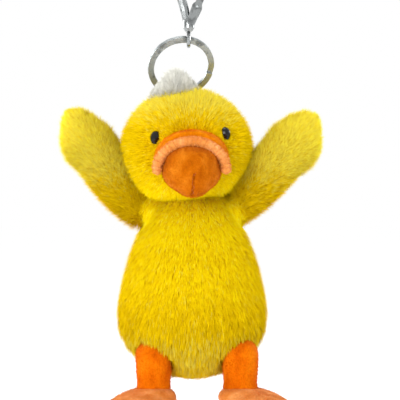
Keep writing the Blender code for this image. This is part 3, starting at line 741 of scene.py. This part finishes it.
def head_flow(roots, normals):
    away = roots - np.array(BILL)
    away[:, 1] *= 0.3
    around = unit(away)
    side = smoothstep(roots[:, 1], FRONT, HEAD.y + 8 * MM)[:, None]
    return around * (1 - side) * 0.9 + DOWN * (0.35 + 0.65 * side)


def head_grows(roots, normals):
    bare_bill = (ellipse(roots, BILL, BILL_HALF_X * 0.8, BILL_HALF_Z * 0.8) < 1) & (roots[:, 1] < FRONT)
    return ~bare_bill & (near_eye(roots) > 1.5 * MM)


# Painted light and shade: darker shades where the head faces sideways, lighter ones under the chin and at
# the back, a little darker on top where the painted highlight goes.
def head_shading_tone(roots, normals):
    side = smoothstep(np.abs(normals[:, 0]), 0.45, 0.95)
    top = smoothstep(normals[:, 2], 0.3, 0.9)
    chin = smoothstep(-normals[:, 2], 0.2, 0.8)
    back = smoothstep(normals[:, 1], -0.2, 0.5)
    return 2.0 - 0.5 * side * (1 - top) * (1 - back) - 0.2 * top + 0.9 * chin + 0.5 * back


# Painted highlight: whitened strands where the head faces up, and some towards the back.
def head_painted_highlight(roots, normals):
    return 0.05 + 0.85 * smoothstep(normals[:, 2], 0.25, 0.9) + 0.3 * smoothstep(normals[:, 1], 0.0, 0.8)


head_fur = grow(
    "head_fur", head, 11, 76000, head_length, head_flow, [YELLOW, PALE], head_shading_tone, head_grows, head_painted_highlight,
    same(0.25), lean=0.7, loft=0.85, stray=0.16,
)

# ---------------------------------------------------------------- body

SHOULDER_R = 6.5 * MM
SHOULDER_OUT = 14.5 * MM
SHOULDER_DOWN = 6.5 * MM
shoulders = []
for side in (-1, 1):
    centre = (MIDDLE + side * SHOULDER_OUT, BODY.y, BODY_HIGH.z - SHOULDER_DOWN)
    shoulders.append((centre, (SHOULDER_R,) * 3))
body = solid_of(
    "body_fur_backing", ["body_skin", "body_stuffing"], FUR_VOXEL, yellow_bed, lumps=shoulders
)
stuff(body, 0.4 * MM, 0.6 * MM)


def chest_length(roots, normals):
    parting = np.exp(-((roots[:, 0] - MIDDLE) / (1.1 * MM)) ** 2) * (roots[:, 1] < BODY.y)
    return 3.6 * MM * (1 - 0.3 * parting)


def belly_length(roots, normals):
    low = smoothstep(WAIST - roots[:, 2], 0, 14 * MM)
    return (3.7 + 1.7 * low) * MM


def body_flow(roots, normals):
    outward = roots - np.array(BODY)
    outward[:, 2] = 0
    chest = smoothstep(roots[:, 2], WAIST, BODY_HIGH.z)[:, None]
    return DOWN + unit(outward) * 0.35 * chest


def chest_grows(roots, normals):
    return (roots[:, 2] >= WAIST) & (roots[:, 2] < HEAD.z - 10 * MM)


def belly_grows(roots, normals):
    return roots[:, 2] < WAIST


# Painted shade and light: darker shades low on the belly and at the back, lighter ones high on the chest
# where the head's shadow falls.
def body_shading_tone(roots, normals):
    low = smoothstep(BODY.z - roots[:, 2], -4 * MM, 26 * MM)
    back = smoothstep(normals[:, 1], -0.2, 0.7)
    high = smoothstep(roots[:, 2] - BODY.z, 8 * MM, 24 * MM)
    return 3.3 + 1.5 * high - 2.6 * low - 0.4 * back


def body_pale(roots, normals):
    low = smoothstep(BODY.z - roots[:, 2], 12 * MM, 24 * MM)
    top = smoothstep(roots[:, 2] - BODY.z, 12 * MM, 24 * MM)
    return 0.02 + 0.46 * low + 0.12 * top


def belly_clump(roots, normals):
    return 0.12 + 0.5 * smoothstep(BODY.z - roots[:, 2], 6 * MM, 22 * MM)


WAIST = BODY.z - 4 * MM
chest_fur = grow(
    "chest_fur", body, 23, 110000, chest_length, body_flow, [YELLOW, PALE], body_shading_tone, chest_grows,
    body_pale, same(0.12), lean=1.2, loft=0.45, stray=0.09,
)
belly_fur = grow(
    "belly_fur", body, 29, 120000, belly_length, body_flow, [YELLOW, PALE], body_shading_tone, belly_grows,
    body_pale, belly_clump, lean=1.05, loft=0.5, stray=0.11, lock=16,
)

# ---------------------------------------------------------------- wings

ROOT_IN = {"left": 9 * MM, "right": 5 * MM}
TIP_OUT = {"left": -1 * MM, "right": 3.4 * MM}
PALM_R = (9.4 * MM, 6.2 * MM, 9.8 * MM)
PALM_BACK = 0.27


def splay(piece, side, low, high):
    """Tucks the wing's sewn root in against the neck and spreads its tip."""
    points = places(piece)
    share = np.clip((points[:, 2] - low.z) / (high.z - low.z), 0, 1)
    outward = 1 if side == "left" else -1
    points[:, 0] += outward * (TIP_OUT[side] * share ** 2 - ROOT_IN[side] * (1 - share) ** 1.5)
    move_to(piece, points)


wings = {}
for number, side in enumerate(("left", "right")):
    low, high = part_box(f"{side}_wing_stuffing")
    outer, inner = (high.x, low.x) if side == "left" else (low.x, high.x)
    depth = (low.y + high.y) / 2
    shoulder = Vector((inner, depth, low.z))
    tip = Vector((outer, depth, high.z))
    palm = tip.lerp(shoulder, PALM_BACK)
    bed = solid_of(
        f"{side}_wing_fur_backing", [f"{side}_wing_skin", f"{side}_wing_stuffing"], 1.0 * MM, yellow_bed,
        lumps=[(palm, PALM_R)],
    )
    splay(bed, side, low, high)
    relax(bed, 4)
    stuff(bed, 0.1 * MM, 0.5 * MM)
    reach = np.array((tip - shoulder).normalized())

    def wing_flow(roots, normals, reach=reach):
        return np.repeat(reach[None], len(roots), 0) * 0.9 + DOWN * 0.25

    # Painted light: lighter shades where the wing faces backwards or sideways, away from the lamps; also
    # lighter towards the tip.
    def wing_shading_tone(roots, normals, low=low, high=high):
        back = smoothstep(normals[:, 1], -0.2, 0.5)
        edge = smoothstep(np.abs(normals[:, 0]), 0.5, 0.95)
        return 1.9 + 0.7 * smoothstep(roots[:, 2], low.z, high.z) + 0.5 * back + 0.9 * edge

    # Painted highlight: whitened strands on the upper part of the wing.
    def wing_painted_highlight(roots, normals, low=low, high=high):
        height = (roots[:, 2] - low.z) / (high.z - low.z)
        return 0.9 * smoothstep(height, 0.15, 0.6)

    coat = grow(
        f"{side}_wing_fur", bed, 31 + number, 36000, same(4.0 * MM), wing_flow, [YELLOW, PALE], wing_shading_tone,
        pale=wing_painted_highlight, clump=same(0.3), lean=0.7, loft=0.85, stray=0.18,
    )
    wings[side] = (bed, coat, shoulder, tip)

# ---------------------------------------------------------------- topknot

tuft = solid_of("topknot_backing", ["head_tuft"], 0.6 * MM, white_bed)
stuff(tuft, 1.1 * MM, 0.4 * MM)
TUFT = np.array(box_centre("head_tuft"))
CURL = 3.4 * MM


def tuft_length(roots, normals):
    peak = np.exp(-((roots[:, 0] - TUFT[0] - 1.0 * MM) / (3.8 * MM)) ** 2)
    curls = np.sin(roots[:, 0] * 2 * math.pi / CURL) * np.sin(roots[:, 1] * 2 * math.pi / CURL + 1.0)
    return (1.6 * MM + 4.2 * MM * peak) * (1 + 0.35 * curls)


def tuft_flow(roots, normals):
    return unit(roots - TUFT) * 0.4 + np.array((-0.25, -0.1, 0.9))


tuft_fur = grow(
    "topknot_fur", tuft, 47, 14000, tuft_length, tuft_flow, [WHITE], same(1.5), clump=same(0.55),
    lean=0.4, loft=1.1, stray=0.4, lock=26, width=0.17 * MM,
)

# ---------------------------------------------------------------- bill

upper = solid_of("upper_bill_velboa", ["upper_bill_skin", "upper_bill_stuffing"], 0.6 * MM, arc_orange, 4)
stuff(upper, 0.2 * MM, 0.35 * MM, size=25)
refine(upper)
lip = solid_of("bill_lip_velboa", ["bill_lip"], 0.45 * MM, lip_peach, 4)
stuff(lip, -0.35 * MM, 0.3 * MM, size=30)
refine(lip)
LIP = box_centre("bill_lip")
LIP_FOLD = 1.9 * MM
LIP_FOLD_DEPTH = 0.16 * MM


def gather_lip():
    """Small folds across the lip where its curve gathers the cloth, strongest towards its ends."""
    points = places(lip)
    turn = np.arctan2(points[:, 0] - LIP.x, points[:, 2] - LIP_LOW.z)
    run = turn * (LIP_HIGH.x - LIP_LOW.x) / 2
    folds = np.sin(run * 2 * math.pi / LIP_FOLD)
    folds += 0.6 * np.sin(run * 2 * math.pi / (LIP_FOLD * 0.63) + 1.0)
    share = 0.35 + 0.65 * np.abs(np.sin(turn))
    move_to(lip, points - normals_of(lip) * (LIP_FOLD_DEPTH * share * folds)[:, None])


gather_lip()
BULB = box_centre("lower_bill_skin")
BULB_CROWN = Vector((BULB.x, BULB.y - 1.0 * MM, BULB_HIGH.z - 5.0 * MM))
BULB_CROWN_R = (9.6 * MM, 8.6 * MM, 5.8 * MM)
BULB_TIP = Vector((BULB.x + 0.4 * MM, BULB.y - 1.5 * MM, BULB_LOW.z + 3.4 * MM))
BULB_TIP_R = (6.4 * MM, 7.6 * MM, 4.6 * MM)
bulb = solid_of(
    "lower_bill_velboa", ["lower_bill_skin", "lower_bill_stuffing"], 0.6 * MM, bill_orange, 8,
    [(BULB_CROWN, BULB_CROWN_R), (BULB_TIP, BULB_TIP_R)],
)
stuff(bulb, 0.1 * MM, 0.3 * MM, size=25)
refine(bulb)

DART_STEPS = 8
dart = []
for step in range(DART_STEPS + 1):
    share = step / DART_STEPS
    dart.append((BULB.x + 1.4 * MM - 1.2 * MM * share, BULB_LOW.y + 6 * MM * share ** 2,
                 BULB.z - 1.6 * MM - 7.0 * MM * share))
dart = on_surface(bulb, dart)
crease(bulb, dart, 1.0 * MM, 0.45 * MM, 1.6 * MM, 0.15 * MM)
smooth_shading(bulb)
dart_thread = stitches(
    "bill_dart_stitches", on_surface(bulb, dart, -0.02 * MM), 0.9 * MM, 0.6 * MM, 0.1 * MM, orange_thread
)



def off_dart(roots, normals):
    return along(roots, dart)[0] > 0.5 * MM


bill_naps = [
    nap(upper, 61, 6000, ARC_ORANGE),
    nap(lip, 62, 6000, LIP_PEACH),
    nap(bulb, 63, 9000, BILL_ORANGE, off_dart),
]

# ---------------------------------------------------------------- legs and feet

legs = {}
for side in ("left", "right"):
    low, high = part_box(f"{side}_leg_skin")
    ankle = Vector(((low.x + high.x) / 2, (low.y + high.y) / 2, low.z))
    half = (high.x - low.x) / 2
    leg = solid_of(
        f"{side}_leg_velboa", [f"{side}_leg_skin", f"{side}_leg_stuffing"], 0.8 * MM, orange, 5,
        [(ankle, (half * 0.97, half * 0.97, 2.2 * MM))],
    )
    stuff(leg, 0.2 * MM, 0.35 * MM, size=20)
    refine(leg)
    foot = solid_of(
        f"{side}_foot_velboa", [f"{side}_foot_upper", f"{side}_foot_stuffing"], 0.9 * MM, peach, 5,
        [(ankle - Vector((0, 1 * MM, 3.4 * MM)), (half * 1.25, half * 1.35, 4.2 * MM))],
    )
    stuff(foot, 0.25 * MM, 0.45 * MM, size=15)
    refine(foot)
    sole = solid_of(f"{side}_sole_velboa", [f"{side}_foot_sole"], 0.5 * MM, orange, 2)
    naps = [nap(leg, 71, 6500, ORANGE), nap(foot, 72, 8000, PEACH)]
    legs[side] = (leg, foot, sole, naps)

# ---------------------------------------------------------------- metal, eyes and ribbon on the CAD nodes

for node, material in (
    ("clasp_body", chrome), ("clasp_gate", chrome), ("gate_pin", steel), ("gate_spring", steel),
    ("swivel_eye", chrome), ("split_ring", steel), ("ribbon_loop", woven),
    ("left_eye", eye_black), ("right_eye", eye_black),
    ("left_eye_washer", washer_plastic), ("right_eye_washer", washer_plastic),
):
    nodes[node].data.materials.clear()
    nodes[node].data.materials.append(material)

# ---------------------------------------------------------------- what rides on what

PADDED = {
    head: ("plush", 0.8, ("head_skin", "head_stuffing"), "yellow_fur"),
    body: ("plush", 0.7, ("body_skin", "body_stuffing"), "yellow_fur"),
    tuft: ("plush", 0.5, ("head_tuft",), "white_fur"),
    upper: ("plush", 0.7, ("upper_bill_skin", "upper_bill_stuffing"), "orange_velboa"),
    lip: ("plush", 0.7, ("bill_lip",), "peach_velboa"),
    bulb: ("plush", 0.8, ("lower_bill_skin", "lower_bill_stuffing"), "orange_velboa"),
}
for piece, (rider, fill, stood_for, slot) in PADDED.items():
    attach(piece, rider)
    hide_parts(*stood_for)
for piece, slot in (
    (head_fur, "yellow_fur"),
    (chest_fur, "yellow_fur"),
    (belly_fur, "yellow_fur"),
    (tuft_fur, "white_fur"),
):
    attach(piece, "plush")
for piece in (dart_thread, *bill_naps):
    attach(piece, "plush")

for side, (bed, coat, shoulder, tip) in wings.items():
    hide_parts(f"{side}_wing_skin", f"{side}_wing_stuffing")
    for piece in (bed, coat):
        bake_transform(piece)

for side, (leg, foot, sole, naps) in legs.items():
    for piece, fill, stood_for, slot in (
        (leg, 0.8, ("leg_skin", "leg_stuffing"), "orange_velboa"),
        (foot, 0.7, ("foot_upper", "foot_stuffing"), "peach_velboa"),
    ):
        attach(piece, f"{side}_leg")
        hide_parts(*(f"{side}_{node}" for node in stood_for))
    for piece in (sole, *naps):
        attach(piece, f"{side}_leg")
    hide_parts(f"{side}_foot_sole")

# ---------------------------------------------------------------- studio

VIEW_CENTRE = Vector((3.7 * MM, 0, -89.9 * MM))
VIEW_WIDTH = 148 * MM
VIEW_DISTANCE = 700 * MM
SENSOR = 36.0
FLOOR_DROP = 24 * MM


def make_floor():
    mesh = bpy.data.meshes.new("floor")
    shape = bmesh.new()
    bmesh.ops.create_circle(shape, cap_ends=True, segments=64, radius=6.0)
    shape.to_mesh(mesh)
    shape.free()
    white = plain_material("floor_white", (1, 1, 1, 1), 1.0, Specular_IOR_Level=0.0)
    floor = new_piece("floor", mesh, white)
    floor.location.z = cad_box[0].z - FLOOR_DROP


def make_camera():
    data = bpy.data.cameras.new("camera")
    data.sensor_width = SENSOR
    data.lens = SENSOR * VIEW_DISTANCE / VIEW_WIDTH
    data.clip_start = 0.01
    camera = bpy.data.objects.new("camera", data)
    bpy.context.scene.collection.objects.link(camera)
    camera.location = VIEW_CENTRE - Vector((0, VIEW_DISTANCE, 0))
    camera.rotation_euler = (math.radians(90), 0, 0)
    bpy.context.scene.camera = camera


def make_light(name, place, size, power):
    data = bpy.data.lights.new(name, "AREA")
    data.shape = "DISK"
    data.size = size
    data.energy = power
    light = bpy.data.objects.new(name, data)
    bpy.context.scene.collection.objects.link(light)
    light.location = VIEW_CENTRE + Vector(place)
    light.rotation_euler = (-Vector(place)).to_track_quat("-Z", "Y").to_euler()


def make_world(strength):
    world = bpy.data.worlds.new("studio")
    world.use_nodes = True
    world.node_tree.nodes["Background"].inputs["Color"].default_value = (1, 1, 1, 1)
    world.node_tree.nodes["Background"].inputs["Strength"].default_value = strength
    bpy.context.scene.world = world


make_floor()
make_camera()
make_light("key", (-0.45, -0.9, 0.22), 0.45, 5.2)
make_light("fill", (-0.1, -0.9, -0.35), 0.5, 2.6)
make_light("back_left", (-0.8, 0.6, 0.25), 0.5, 4.0)
make_light("back_right", (0.8, 0.6, 0.25), 0.5, 3.4)
make_light("top", (0.0, 0.1, 0.9), 0.5, 2.0)
make_world(1.0)
bpy.context.scene.view_settings.view_transform = "Standard"
